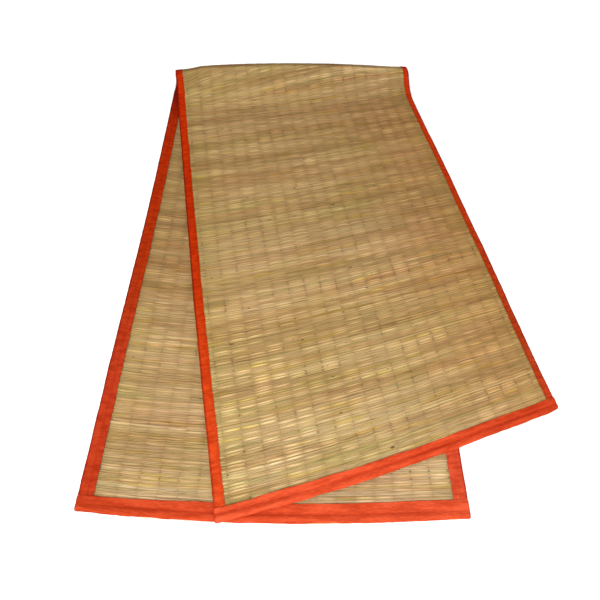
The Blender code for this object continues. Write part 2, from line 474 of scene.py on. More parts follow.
def strand_tree(name, material, length_steps, place_of, thickness_of, sides, flatness, sizes=()):
    """Geometry nodes for many strands: each starts as a straight line and is then bent and shaped."""
    tree, given, made = new_tree(
        name,
        "GeometryNodeTree",
        [
            ("First Strand", "NodeSocketInt", 0),
            ("Strands", "NodeSocketInt", 10),
            ("Half Length", "NodeSocketFloat", STRAND_HALF),
            ("Thickness", "NodeSocketFloat", 0.001),
            ("Seed", "NodeSocketInt", 1),
        ]
        + [(label, "NodeSocketFloat", 0.0) for label in sizes],
        [("Mesh", "NodeSocketGeometry")],
    )
    starts = put(tree, "GeometryNodeMeshLine", {"Count": given["Strands"], "Offset": (0, 0, 0)})
    index = tree.nodes.new("GeometryNodeInputIndex").outputs[0]
    number = plus(tree, index, given["First Strand"])
    marked = put(
        tree,
        "GeometryNodeStoreNamedAttribute",
        {"Geometry": starts.outputs[0], "Name": "strand", "Value": number},
        data_type="FLOAT",
        domain="POINT",
    )
    behind = times(tree, given["Half Length"], -1)
    line = put(
        tree,
        "GeometryNodeCurvePrimitiveLine",
        {"Start": vector(tree, behind, 0, 0), "End": vector(tree, given["Half Length"], 0, 0)},
    )
    stepped = put(
        tree,
        "GeometryNodeResampleCurve",
        {"Curve": line.outputs[0], "Count": length_steps + 1},
        mode="COUNT",
    )
    copied = put(
        tree,
        "GeometryNodeInstanceOnPoints",
        {"Points": marked.outputs[0], "Instance": stepped.outputs[0]},
    )
    real = put(tree, "GeometryNodeRealizeInstances", {"Geometry": copied.outputs[0]})
    strand = put(tree, "GeometryNodeInputNamedAttribute", {"Name": "strand"}, data_type="FLOAT").outputs[0]
    position = tree.nodes.new("GeometryNodeInputPosition").outputs[0]
    along = put(tree, "ShaderNodeSeparateXYZ", {0: position}).outputs[0]
    bent = put(
        tree,
        "GeometryNodeSetPosition",
        {"Geometry": real.outputs[0], "Position": place_of(tree, strand, along, given)},
    )
    upright = put(tree, "GeometryNodeSetCurveNormal", {"Curve": bent.outputs[0]}, mode="Z_UP")
    kept_along = put(
        tree,
        "GeometryNodeStoreNamedAttribute",
        {
            "Geometry": upright.outputs[0],
            "Name": "along",
            "Value": tree.nodes.new("GeometryNodeSplineParameter").outputs["Factor"],
        },
        data_type="FLOAT",
        domain="POINT",
    )
    ring = put(tree, "GeometryNodeCurvePrimitiveCircle", {"Resolution": sides, "Radius": 1.0})
    flattened = put(tree, "GeometryNodeTransform", {"Geometry": ring.outputs[0], "Scale": (flatness, 1, 1)})
    numbered = put(
        tree,
        "GeometryNodeStoreNamedAttribute",
        {
            "Geometry": flattened.outputs[0],
            "Name": "round",
            "Value": index,
        },
        data_type="FLOAT",
        domain="POINT",
    )
    thickness = times(tree, given["Thickness"], thickness_of(tree, strand, along, given))
    skin = put(
        tree,
        "GeometryNodeCurveToMesh",
        {
            "Curve": kept_along.outputs[0],
            "Profile Curve": numbered.outputs[0],
            "Scale": thickness,
            "Fill Caps": True,
        },
    )
    rounded = put(tree, "GeometryNodeSetShadeSmooth", {"Geometry": skin.outputs[0]})
    joined = put(tree, "GeometryNodeRealizeInstances", {"Geometry": rounded.outputs[0]})
    painted = put(tree, "GeometryNodeSetMaterial", {"Geometry": joined.outputs[0], "Material": material})
    tree.links.new(painted.outputs[0], made[0])
    return tree


def random_of(tree, strand, seed, low, high):
    """A random number of its own for each strand."""
    node = put(tree, "FunctionNodeRandomValue", data_type="FLOAT")
    tree.links.new(plus(tree, strand, 0.5), node.inputs["ID"])
    tree.links.new(seed, node.inputs["Seed"])
    node.inputs[2].default_value, node.inputs[3].default_value = low, high
    return node.outputs[1]


def wander(tree, strand, along, seed, bumps, height):
    """A slow random waver along each strand, bumps to a metre."""
    place = vector(tree, times(tree, along, bumps), times(tree, strand, 7.31), seed)
    noise = put(tree, "ShaderNodeTexNoise", {"Vector": place, "Scale": 1.0, "Detail": 1.0}).outputs["Fac"]
    return times(tree, minus(tree, noise, 0.5), 2 * height)


def weft_row(tree, strand):
    """The number of the row that a blade belongs to."""
    return calc(tree, "FLOOR", ratio(tree, plus(tree, strand, 0.1), BLADES_IN_ROW))


def weft_side(tree, strand):
    """-1, 0 or 1 for the three blades of a row."""
    return minus(tree, calc(tree, "FLOORED_MODULO", plus(tree, strand, 0.1), BLADES_IN_ROW), 1.1)


def warp_wave(tree, strand, along):
    """1 where a warp passes over the row, -1 where it passes under, 0 halfway between two warps."""
    turns = plus(tree, ratio(tree, along, WARP_SPACING), weft_row(tree, strand))
    return calc(tree, "COSINE", times(tree, turns, math.pi))


def weft_sag(tree, strand, along):
    """In some places the grass lies in small arcs between the warps, bowed one way or the other."""
    place = vector(tree, times(tree, along, 5.0), times(tree, strand, 0.022), 1.5)
    slack = put(tree, "ShaderNodeTexNoise", {"Vector": place, "Scale": 1.0, "Detail": 1.0}).outputs[0]
    slack = times(tree, minus(tree, slack, SLACK_BALANCE), SLACK)
    arcs = calc(tree, "COSINE", times(tree, along, math.tau / WARP_SPACING))
    return times(tree, arcs, slack)


def weft_place(tree, strand, along, given):
    """Blades run across the mat, three to a row, drawn together and lifted by turns at the warps."""
    seed = given["Seed"]
    wave = warp_wave(tree, strand, along)
    at_warp = calc(tree, "POWER", calc(tree, "ABSOLUTE", wave), 2.0)
    squeeze = minus(tree, 1.0, times(tree, at_warp, PINCH))
    side = times(tree, weft_side(tree, strand), BLADE_SPREAD)
    row_middle = times(tree, plus(tree, weft_row(tree, strand), 0.5), ROW_PITCH)
    y = plus(tree, row_middle, times(tree, side, squeeze))
    y = plus(tree, y, wander(tree, strand, along, seed, 11.0, WEFT_WAVER))
    y = plus(tree, y, weft_sag(tree, strand, along))
    z = times(tree, wave, -WEAVE_HEIGHT)
    z = plus(tree, z, wander(tree, strand, along, plus(tree, seed, 3.0), 14.0, WEFT_LIFT))
    return vector(tree, along, y, z)


def weft_thickness(tree, strand, along, given):
    """Each blade has its own thickness, swells here and there and is pinched at the warps."""
    seed = given["Seed"]
    at_warp = calc(tree, "ABSOLUTE", warp_wave(tree, strand, along))
    pinched = minus(tree, 1.0, times(tree, calc(tree, "POWER", at_warp, 3.0), PINCH))
    own = random_of(tree, strand, seed, *BLADE_THICKNESS_SPAN)
    outer = times(tree, calc(tree, "ABSOLUTE", weft_side(tree, strand)), -OUTER_BLADE_THINNER)
    swell = wander(tree, strand, along, seed, 15.0, BLADE_SWELL)
    return times(tree, pinched, plus(tree, plus(tree, own, outer), swell))


def warp_place(tree, strand, along, given):
    """Warps run the other way: along the mat, over one row and under the next."""
    column = minus(tree, strand, (WARPS - 1) / 2)
    u = times(tree, column, WARP_SPACING)
    u = plus(tree, u, wander(tree, strand, along, given["Seed"], 30.0, WARP_WAVER))
    s = plus(tree, along, MAT_LENGTH / 2)
    turns = plus(tree, minus(tree, ratio(tree, s, ROW_PITCH), 0.5), column)
    over = calc(tree, "COSINE", times(tree, turns, math.pi))
    return vector(tree, u, s, times(tree, over, WARP_LIFT))


def warp_thickness(tree, strand, along, given):
    return plus(tree, 1.0, wander(tree, strand, along, given["Seed"], 60.0, WARP_SWELL))


def strand_map(mesh, first, count, sides, columns=1):
    """A map for the colours that gives each strand a strip of its own, side by side and in columns."""
    corners = np.zeros(len(mesh.loops), np.int32)
    mesh.loops.foreach_get("vertex_index", corners)
    starts = np.zeros(len(mesh.polygons), np.int32)
    mesh.polygons.foreach_get("loop_start", starts)
    read = {}
    for name in ("strand", "along", "round"):
        values = np.zeros(len(mesh.vertices), np.float32)
        mesh.attributes[name].data.foreach_get("value", values)
        read[name] = values[corners]
    face = np.repeat(np.arange(len(starts)), np.diff(np.append(starts, len(corners))))
    largest = np.maximum.reduceat(read["round"], starts)[face]
    turned = np.where((largest > sides - 1.5) & (read["round"] < 0.5), sides, read["round"]) / sides
    number = np.round(read["strand"]) - first
    lines = -(-count // columns)
    place = np.stack(
        [
            (number % columns + 0.02 + 0.96 * read["along"]) / columns,
            (number // columns + 0.08 + 0.84 * turned) / lines,
        ],
        axis=1,
    )
    layer = mesh.uv_layers.new(name="OFBake", do_init=False)
    layer.uv.foreach_set("vector", place.astype(np.float32).ravel())


def press_flat(mesh):
    """Flattens the blades of the lower layer where they would reach into the floor."""
    flat = points_of(mesh)
    square_to_fold = flat[:, 1] * COS_STRIP - flat[:, 0] * FOLD_SKEW
    on_floor = square_to_fold < LOWER_RUN + PRESSED_PAST_FOLD
    flat[:, 2] = np.where(on_floor, np.maximum(flat[:, 2], -GRASS_HALF), flat[:, 2])
    mesh.vertices.foreach_set("co", flat.astype(np.float32).ravel())


def make_wefts(material):
    """The rows of grass, in four lengths of the mat."""
    tree = strand_tree(
        "weft rows", material, STRAND_STEPS, weft_place, weft_thickness, sides=4, flatness=1.22
    )
    for name, start, stop in WEFT_LENGTHS:
        first, count = start * BLADES_IN_ROW, (stop - start) * BLADES_IN_ROW
        values = {"First Strand": first, "Strands": count, "Thickness": WEFT_THICKNESS, "Seed": WEFT_SEED}
        mesh = grown(tree, values)
        strand_map(mesh, first, count, sides=4)
        press_flat(mesh)
        fold_up(mesh)
        show(name, mesh)


def make_warps(material):
    tree = strand_tree(
        "warp threads", material, ROWS * 2, warp_place, warp_thickness, sides=4, flatness=1.2
    )
    values = {
        "Strands": WARPS,
        "Half Length": MAT_LENGTH / 2,
        "Thickness": WARP_THICKNESS,
        "Seed": WARP_SEED,
    }
    mesh = grown(tree, values)
    strand_map(mesh, 0, WARPS, sides=4)
    fold_up(mesh)
    show("warp_threads", mesh)


def closed_sheet(name, rings, material, strips):
    """A closed shell through rings of flat points, with its map for the colours cut into strips."""
    steps, count = rings.shape[:2]
    index = np.arange(steps * count).reshape(steps, count)
    after = np.roll(index, -1, axis=1)
    quads = np.stack([index[:-1], after[:-1], after[1:], index[1:]], axis=-1).reshape(-1, 4)
    mesh = bpy.data.meshes.new(name)
    caps = [index[0].tolist()[::-1], index[-1].tolist()]
    mesh.from_pydata(rings.reshape(-1, 3).tolist(), [], quads.tolist() + caps)

    typical = rings[steps // 2]
    sides = np.linalg.norm(np.roll(typical, -1, axis=0) - typical, axis=1)
    turn = np.concatenate([[0], np.cumsum(sides)]) / sides.sum()
    step, side = [grid.ravel() for grid in np.mgrid[0:steps - 1, 0:count]]
    length = -(-(steps - 1) // strips)
    x = 0.005 + 0.99 * (step % length)[:, None] / length + np.array([0, 0, 1, 1]) * 0.99 / length
    y = np.stack([turn[side], turn[side + 1], turn[side + 1], turn[side]], axis=1)
    y = ((step // length)[:, None] + 0.03 + 0.94 * y) / strips
    place = np.concatenate([np.stack([x, y], axis=-1).reshape(-1, 2), np.full((2 * count, 2), 0.999)])
    layer = mesh.uv_layers.new(name="OFBake", do_init=False)
    layer.uv.foreach_set("vector", place.astype(np.float32).ravel())

    form = bmesh.new()
    form.from_mesh(mesh)
    if form.calc_volume(signed=True) < 0:
        mesh.flip_normals()
    form.free()
    mesh.materials.append(material)
    mesh.shade_smooth()
    return mesh


def make_ground(material):
    """The thin ground of the weave, which closes the gaps between the blades; it is coloured as grass
    darkened with painted shade.
    """
    columns = np.linspace(-HALF_WIDTH + GROUND_INSET, HALF_WIDTH - GROUND_INSET, 41)
    lengths = np.linspace(GROUND_INSET, MAT_LENGTH - GROUND_INSET, 301)
    u = np.concatenate([columns, columns[::-1]])
    n = np.repeat([GROUND_HALF, -GROUND_HALF], len(columns))
    s, u = np.meshgrid(lengths, u, indexing="ij")
    rings = np.stack([u, s, np.broadcast_to(n, u.shape)], axis=-1)
    mesh = closed_sheet("grass_ground", rings, material, strips=4)
    fold_up(mesh)
    return show("grass_ground", mesh)


# The cloth tapes

def end_gap(inset):
    """Half the space inside an end tape, at a distance in from the mat's side edge."""
    over_grass = GRASS_HALF + SEAM_GAP
    lapped = over_grass + TAPE_STEP * (1 - smooth(inset, LAP_WIDTH, LAP_WIDTH + LAP_EASE))
    side_bend = over_grass + TAPE_THICKNESS
    past_bend = np.clip(1 - inset / side_bend, 0, 1)
    return lapped - side_bend * (1 - np.sqrt(1 - past_bend**2))


def end_reach(layer, u):
    """How far an end tape reaches in on its two faces, which were not cut and sewn quite straight."""
    inside, outside = END_REACH[layer]
    if layer == "lower":
        change = LOWER_TAPE_WIDER * smooth(u, -0.02, 0.15) - LOWER_TAPE_NARROWER * smooth(-u, 0.12, 0.30)
    else:
        change = -UPPER_TAPE_NARROWER * smooth(-u, 0.15, 0.30)
    return inside + change, outside + change


def tape_rings(along, reach, gap, relief, leg_points, bend_points):
    """(inset, n) round a tape folded over an edge, for each place along it: outer face, then inner."""
    gap = gap[:, None]
    outer = gap + TAPE_THICKNESS
    along = along[:, None]

    def leg(sign, width):
        """The outer face from the tape's raw edge, which is rounded, to its bend."""
        near = width[:, None] - np.array(RAW_EDGE_STEPS)
        parts = np.arange(1, leg_points - 2) / (leg_points - 2)
        inset = np.concatenate([near, blend(near[:, -1:], outer, parts)], axis=1)
        fullness = np.concatenate([RAW_EDGE_FULLNESS, np.ones(leg_points - 3)])
        height = gap + TAPE_THICKNESS * fullness + relief(along, inset, sign)
        return np.stack([inset, sign * height], axis=-1)

    def inner_leg(sign, width):
        inset = blend(width[:, None] - RAW_EDGE_STEPS[1], outer, np.array([0, 0.5, 1]))
        return np.stack([inset, np.broadcast_to(sign * gap, inset.shape)], axis=-1)

    def bend(angles, radius):
        return np.stack([outer - radius * np.sin(angles), radius * np.cos(angles)], axis=-1)

    angles = np.linspace(0, math.pi, bend_points)
    puffed = outer + relief(along, 0.002 + 0 * angles, np.where(angles < 1.6, 1, -1))
    inside, outside = reach
    return np.concatenate(
        [
            leg(1, inside),
            bend(angles, puffed),
            leg(-1, outside)[:, ::-1],
            inner_leg(-1, outside),
            bend(angles[-2:0:-1], gap),
            inner_leg(1, inside)[:, ::-1],
        ],
        axis=1,
    )


def pucker(along, inset, sign, seed):
    """The small uneven bumps of a tape that is sewn down over coarse grass."""
    face = seed + 10 * np.where(np.asarray(sign) > 0, 1, 0).max()
    return sum(
        height * soft_noise(along / length + inset / slant, inset / width, face + number)
        for number, (height, length, width, slant) in enumerate(PUCKERS)
    )


def seam_dip(inset, line, width=0.0011):
    return np.exp(-(((inset - line) / width) ** 2))


def wavy(along, seed, long_wave, short_wave):
    """The uneven run of a cut edge."""
    return long_wave * soft_noise(along / 0.028, 0 * along, seed) + short_wave * soft_noise(
        along / 0.0075, 0 * along + 9, seed
    )


def mark_tape(mesh, inset, seam):
    """Keeps what the cloth's tone needs: how near the sewn line is, for painted shade in its groove, and the
    distance from the edge, for painted shade along it.
    """
    store(mesh, "seam", seam.ravel())
    store(mesh, "inset", inset.ravel())


def make_side_tape(side, sign, material):
    """A tape along one long edge, sign -1 on the left and 1 on the right."""
    along = np.linspace(SIDE_TAPE_START, MAT_LENGTH - SIDE_TAPE_START, SIDE_TAPE_STEPS)
    seed, line = TAPE_SEEDS[side], SEAM_INSET[side]
    cut = CUT_EDGE_WAVES["side"]
    reach = [width + wavy(along, seed + i, *cut) for i, width in enumerate(SIDE_REACH[side])]
    outline = wavy(along, seed + 5, *FOLDED_EDGE_WAVES["side"])

    def relief(place, inset, face):
        bumps = pucker(place, inset, face, seed) - SIDE_SEAM_DEPTH * seam_dip(inset, line)
        on_floor = (np.asarray(face) < 0) & (place < LOWER_RUN)
        return np.where(on_floor, np.minimum(bumps, 0), bumps)

    gap = np.full(SIDE_TAPE_STEPS, GRASS_HALF + SEAM_GAP)
    rings = tape_rings(along, reach, gap, relief, leg_points=9, bend_points=6)
    inset, n = rings[..., 0], rings[..., 1]
    shifted = inset + outline[:, None] * (1 - smooth(inset, 0, 0.006))
    flat = np.stack([sign * (HALF_WIDTH - shifted), np.broadcast_to(along[:, None], n.shape), n], axis=-1)
    name = f"tape_{side}"
    mesh = closed_sheet(name, flat, material, strips=14)
    # The seam's groove gets painted shade
    mark_tape(mesh, inset, 0.4 * seam_dip(inset, line))
    fold_up(mesh)
    piece = show(name, mesh)
    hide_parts(f"binding_{side}")


def make_end_tape(layer, material):
    """The tape on one end of the mat, lapped over the side tapes and rounded at its two tips."""
    tip = HALF_WIDTH + END_OVERHANG
    inner = tip - 0.008
    along = np.concatenate(
        [
            np.linspace(-tip, -inner, 13)[:-1],
            np.linspace(-inner, inner, 309),
            np.linspace(inner, tip, 13)[1:],
        ]
    )
    seed, cut = TAPE_SEEDS[layer], CUT_EDGE_WAVES["end"]
    reach = [width + wavy(along, seed + i, *cut) for i, width in enumerate(end_reach(layer, along))]
    outline = wavy(along, seed + 5, *FOLDED_EDGE_WAVES["end"])
    line = (SEAM_INSET[layer] + SEAM_WANDER * soft_noise(along / 0.11, 0 * along, seed + 7))[:, None]

    def relief(place, inset, face):
        ridges = sum(seam_dip(inset, line + beside, width) for beside, width in END_RIDGES)
        bumps = pucker(place, inset, face, seed) + END_RIDGE_HEIGHT * ridges
        bumps = bumps - END_SEAM_DEPTH * seam_dip(inset, line, 0.0024)
        return np.where((np.asarray(face) < 0) & (layer == "lower"), np.minimum(bumps, 0), bumps)

    gap = end_gap(HALF_WIDTH - np.abs(along))
    rings = tape_rings(along, reach, gap, relief, leg_points=15, bend_points=6)
    inset, n = rings[..., 0], rings[..., 1]
    beyond = np.maximum(np.abs(along) - (tip - TIP_ROUND), 0)
    rounding = TIP_ROUND - np.sqrt(np.maximum(TIP_ROUND**2 - beyond**2, 0))
    width = reach[0][:, None]
    shifted = inset + outline[:, None] * (1 - smooth(inset, 0, 0.008))
    shifted = shifted + rounding[:, None] * (1 - 2 * inset / width)
    s = shifted if layer == "lower" else MAT_LENGTH - shifted
    flat = np.stack([np.broadcast_to(along[:, None], n.shape), s, n], axis=-1)
    name = f"tape_end_{layer}"
    mesh = closed_sheet(name, flat, material, strips=8)
    # Painted shade in the seam's groove, of uneven strength along the tape; the distance from each tip is
    # kept as the inset, so the tips get the rim's painted shade
    strength = 0.70 + 0.45 * soft_noise(along / 0.070, 0 * along, seed + 8)[:, None]
    from_tip = np.broadcast_to((tip - np.abs(along))[:, None], inset.shape)
    mark_tape(mesh, from_tip + 0.0012, strength * seam_dip(inset, line, 0.0027))
    fold_up(mesh)
    piece = show(name, mesh)
    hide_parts(f"binding_end_{layer}")


# Stitches

def stitch_parts(tree, strand, along, given):
    """The face a stitch is on, 1 or -1, its place along the seam, and its height over the cloth."""
    half = times(tree, given["Strands"], 0.5)
    second = calc(tree, "GREATER_THAN", strand, minus(tree, half, 0.5))
    face = minus(tree, 1.0, times(tree, second, 2.0))
    number = minus(tree, strand, times(tree, second, half))
    jitter = random_of(tree, strand, given["Seed"], -STITCH_JITTER, STITCH_JITTER)
    started = plus(tree, times(tree, number, given["Pitch"]), given["Start"])
    place = plus(tree, plus(tree, started, along), jitter)
    part = ratio(tree, along, given["Half Length"])
    sunk = times(tree, times(tree, part, part), given["Rise"])
    height = minus(tree, given["Height"], sunk)
    return face, place, times(tree, face, height)


def stitch_line(tree, strand, given):
    """The line of sewing, from which each stitch strays a little."""
    seed = plus(tree, given["Seed"], 1.0)
    return plus(tree, given["Line"], random_of(tree, strand, seed, -STITCH_DRIFT, STITCH_DRIFT))


def side_stitch_place(tree, strand, along, given):
    _, s, n = stitch_parts(tree, strand, along, given)
    return vector(tree, stitch_line(tree, strand, given), s, n)


def end_stitch_place(tree, strand, along, given):
    """Along an end tape, rising where it is lapped over the side tapes."""
    face, u, n = stitch_parts(tree, strand, along, given)
    inset = minus(tree, HALF_WIDTH, calc(tree, "ABSOLUTE", u))
    lapped = between(tree, inset, TAPE_STEP, 0.0, LAP_WIDTH, LAP_WIDTH + LAP_EASE)
    return vector(tree, u, stitch_line(tree, strand, given), plus(tree, n, times(tree, face, lapped)))


def stitch_thickness(tree, strand, along, given):
    return random_of(tree, strand, given["Seed"], 0.85, 1.1)


def make_stitches(material):
    """One line of thread for each tape, sewn through both its faces."""
    sizes = ("Pitch", "Start", "Line", "Height", "Rise")
    for kind, place_of in (("side", side_stitch_place), ("end", end_stitch_place)):
        tree = strand_tree(
            f"{kind} stitch line",
            material,
            4,
            place_of,
            stitch_thickness,
            sides=3,
            flatness=1.0,
            sizes=sizes,
        )
        for number, (name, line) in enumerate(STITCH_LINES[kind].items()):
            count = 2 * int(STITCH_RUN[kind] / STITCH_PITCH)
            values = {
                "Strands": count,
                "Half Length": STITCH_HALF,
                "Thickness": STITCH_THICKNESS,
                "Seed": STITCH_SEED + number,
                "Pitch": STITCH_PITCH,
                "Start": STITCH_START[kind],
                "Line": line,
                "Height": STITCH_HEIGHT,
                "Rise": STITCH_SUNK,
            }
            mesh = grown(tree, values)
            strand_map(mesh, 0, count, sides=3, columns=24)
            fold_up(mesh)
            show(f"stitches_{name}", mesh)


# Colours and surfaces

def mixed(tree, blend_type, amount, first, second):
    """The colour from a Mix node."""
    node = put(tree, "ShaderNodeMix", {0: amount}, data_type="RGBA", blend_type=blend_type)
    for number, colour in ((6, first), (7, second)):
        if isinstance(colour, bpy.types.NodeSocket):
            tree.links.new(colour, node.inputs[number])
        else:
            node.inputs[number].default_value = (*colour, 1)
    return node.outputs[2]


def ramp(tree, value, stops):
    """A colour that is looked up along charted stops, each a place from 0 to 1 and its colour."""
    node = put(tree, "ShaderNodeValToRGB", {0: value})
    elements = node.color_ramp.elements
    for element, (place, colour) in zip((elements[0], elements[1]), (stops[0], stops[-1])):
        element.position, element.color = place, (*colour, 1)
    for place, colour in stops[1:-1]:
        elements.new(place).color = (*colour, 1)
    return node.outputs[0]


def noise(tree, place, detail=2.0, roughness=0.5):
    node = put(tree, "ShaderNodeTexNoise", {"Vector": place, "Scale": 1.0})
    node.inputs["Detail"].default_value, node.inputs["Roughness"].default_value = detail, roughness
    return node.outputs[0]


def between(tree, value, low, high, from_low=0.0, from_high=1.0):
    """A value moved from one range to another with a smooth step, and kept inside it."""
    return put(
        tree,
        "ShaderNodeMapRange",
        {"Value": value, "From Min": from_low, "From Max": from_high, "To Min": low, "To Max": high},
        interpolation_type="SMOOTHSTEP",
    ).outputs[0]


def cell_noise(tree, column, line):
    """A random number of its own for each cell of a grid."""
    place = vector(tree, column, line, 0.5)
    return put(tree, "ShaderNodeTexWhiteNoise", {"Vector": place}, noise_dimensions="2D").outputs[0]


def grey(tree, value):
    return put(tree, "ShaderNodeCombineColor", {0: value, 1: value, 2: value}).outputs[0]


def kept(tree, name):
    """A value that was stored on the mesh."""
    return put(tree, "ShaderNodeAttribute", attribute_type="GEOMETRY", attribute_name=name).outputs


# Straw along the mat, as a place from the lower end (0) to the upper end (1), with painted shade in the
# darkest stop, where the lower layer lies under the fold's loop
STRAW_ALONG = (
    (0.000, (0.45, 0.320, 0.180)),
    (0.020, (0.44, 0.315, 0.180)),
    (0.024, (0.41, 0.276, 0.114)),
    (0.030, (0.44, 0.310, 0.174)),
    (0.048, (0.44, 0.308, 0.164)),
    (0.053, (0.41, 0.265, 0.110)),
    (0.060, (0.44, 0.305, 0.160)),
    (0.110, (0.43, 0.298, 0.146)),
    (0.200, (0.355, 0.222, 0.100)),
    (0.310, (0.325, 0.202, 0.084)),
    # Painted shade: the lower layer lies under the fold's loop here
    (0.480, (0.27, 0.165, 0.068)),
    (0.495, (0.43, 0.310, 0.135)),
    (0.545, (0.405, 0.285, 0.126)),
    (0.590, (0.335, 0.212, 0.093)),
    (0.640, (0.330, 0.214, 0.090)),
    (0.700, (0.363, 0.240, 0.107)),
    (0.740, (0.333, 0.225, 0.091)),
    (0.770, (0.358, 0.242, 0.110)),
    (0.810, (0.395, 0.265, 0.126)),
    (0.850, (0.420, 0.287, 0.131)),
    (0.870, (0.392, 0.272, 0.114)),
    (0.900, (0.437, 0.305, 0.142)),
    (0.930, (0.422, 0.297, 0.135)),
    (0.960, (0.465, 0.334, 0.169)),
    (1.000, (0.455, 0.329, 0.164)),
)

# Dye of the side tapes along the mat in the same way, with painted shade where they lie under the fold's
# loop and up to its crest, and of the end tapes from left to right
LEFT_DYE_AND_SHADE = (
    (0.00, (0.35, 0.029, 0.007)),
    (0.10, (0.35, 0.029, 0.0075)),
    (0.20, (0.30, 0.022, 0.0025)),
    (0.35, (0.32, 0.018, 0.001)),
    (0.41, (0.30, 0.016, 0.001)),
    # Painted shade: the left tape lies dark under the fold's loop, up to its crest
    (0.45, (0.17, 0.006, 0.002)),
    (0.50, (0.16, 0.005, 0.002)),
    (0.51, (0.39, 0.019, 0.001)),
    (0.60, (0.42, 0.021, 0.0005)),
    (0.70, (0.34, 0.017, 0.0007)),
    (0.82, (0.375, 0.023, 0.0014)),
    (0.90, (0.45, 0.037, 0.0046)),
    (1.00, (0.485, 0.047, 0.0095)),
)
RIGHT_DYE_AND_SHADE = (
    (0.00, (0.48, 0.054, 0.0195)),
    (0.20, (0.43, 0.040, 0.011)),
    # Painted shade: the right tape lies dark by the fold, darkest at its crest
    (0.49, (0.30, 0.015, 0.003)),
    (0.54, (0.19, 0.007, 0.003)),
    (0.556, (0.39, 0.024, 0.003)),
    (0.70, (0.38, 0.025, 0.0025)),
    (0.77, (0.35, 0.025, 0.0028)),
    (0.94, (0.30, 0.030, 0.0060)),
    (1.00, (0.40, 0.035, 0.008)),
)
LOWER_END_DYE = ((0.0, (0.41, 0.042, 0.011)), (0.5, (0.50, 0.054, 0.0165)), (1.0, (0.545, 0.066, 0.0225)))
UPPER_END_DYE = ((0.0, (0.56, 0.068, 0.023)), (0.6, (0.52, 0.052, 0.015)), (1.0, (0.425, 0.036, 0.0093)))

# Tints that the straw's colour is multiplied by
GREENISH = (0.86, 0.94, 0.66)
PINKISH = (1.0, 0.88, 0.80)
STAINED = (0.95, 0.79, 0.66)
BLEACHED = (1.22, 1.24, 1.40)
CREST_SHADE = (0.48, 0.40, 0.32)
BAND_DARK = (0.86, 0.79, 0.70)
BAND_LIGHT = (1.07, 1.08, 1.08)
YELLOWED = (1.00, 0.98, 0.62)
# Painted highlight of the shiny dashes
PAINTED_GLINT = (1.46, 1.54, 1.74)

# Brown flecks, and the one dark spot in the grass near the upper end
FLECK_BROWN = (0.075, 0.035, 0.015)
SPOT_PLACE = (-0.0075, 2.094)
SPOT_SIZE = (0.0045, 0.0020)

# The rows of tone in the straw: their pitch, and how many rows they waver by
ROW_SEEN = 0.0046
ROW_WAVER = 3.2

# The run of tones from blade to blade
BLADE_TINTS = (
    (0.00, (0.64, 0.68, 0.48)),
    (0.14, (0.84, 0.87, 0.70)),
    (0.36, (0.91, 0.89, 0.84)),
    (0.60, (1.00, 0.98, 0.97)),
    (0.80, (0.97, 0.87, 0.80)),
    (0.93, (0.86, 0.76, 0.58)),
    (1.00, (0.58, 0.49, 0.38)),
)


def mottle(tree, u, s, across_mat, along_mat, seed, detail=2.0):
    """Soft random patches on the flat mat, about so many to a metre across it and along it."""
    place = vector(tree, times(tree, u, across_mat), times(tree, s, along_mat), seed)
    return noise(tree, place, detail)


def blade_tint(tree, u, blade):
    """The tone of each blade, which drifts along it."""
    own = put(tree, "ShaderNodeTexWhiteNoise", {"W": blade}, noise_dimensions="1D").outputs[0]
    drift = times(tree, minus(tree, mottle(tree, u, blade, 15.0, 2.71, 0.0), 0.5), 0.9)
    return ramp(tree, plus(tree, own, drift, clamp=True), BLADE_TINTS)


def weathered(tree, colour, u, s):
    """Greenish and pinkish patches, the stain past the fold and the bleached right side before it."""
    patch = between(tree, mottle(tree, u, s, 5.0, 16.0, 4.0, 3.0), 0.0, 0.55, 0.52, 0.72)
    edge = between(tree, calc(tree, "ABSOLUTE", u), 0.0, 0.45, 0.20, HALF_WIDTH)
    colour = mixed(tree, "MULTIPLY", plus(tree, patch, edge, clamp=True), colour, GREENISH)
    pink = between(tree, mottle(tree, u, s, 6.0, 30.0, 9.0), 0.0, 0.6, 0.55, 0.75)
    colour = mixed(tree, "MULTIPLY", pink, colour, PINKISH)
    stain = times(tree, between(tree, u, 0.0, 0.8, 0.0, 0.28), between(tree, s, 0.0, 1.0, 1.20, 1.34))
    colour = mixed(tree, "MULTIPLY", stain, colour, STAINED)
    bleached = times(tree, between(tree, u, 0.0, 1.0, 0.0, 0.25), between(tree, s, 1.0, 0.0, 1.16, 1.26))
    return mixed(tree, "MULTIPLY", bleached, colour, BLEACHED)


def crest_line(tree, u, s):
    """1 on the line of painted shade where the cloth turns over, just under the top of the fold."""
    square_to_fold = minus(tree, times(tree, s, COS_STRIP), times(tree, u, FOLD_SKEW))
    side_part = calc(tree, "POWER", calc(tree, "ABSOLUTE", ratio(tree, u, HALF_WIDTH)), 2.0)
    sagged = between(tree, u, LEFT_SAG, 0.0, -HALF_WIDTH, LEFT_SAG_REACH - HALF_WIDTH)
    risen = calc(tree, "MULTIPLY_ADD", minus(tree, 1.0, side_part), LOOP_RADIUS_RISE, LOOP_RADIUS_EDGE)
    radius = minus(tree, risen, sagged)
    crest = calc(tree, "MULTIPLY_ADD", radius, CREST_PER_RADIUS, LOWER_RUN + CREST_START)
    from_crest = calc(tree, "ABSOLUTE", minus(tree, square_to_fold, crest))
    return between(tree, from_crest, 1.0, 0.0, *CREST_FADE)


def seen_rows(tree, u, s):
    """The number of the row of tone at a place, and how far the place is from that row's middle."""
    uneven = times(tree, mottle(tree, u, s, 4.0, 28.0, 61.0), ROW_WAVER)
    lines = calc(tree, "MULTIPLY_ADD", s, 1 / ROW_SEEN, uneven)
    off_row = calc(tree, "ABSOLUTE", minus(tree, calc(tree, "FRACT", lines), 0.5))
    return calc(tree, "FLOOR", lines), off_row


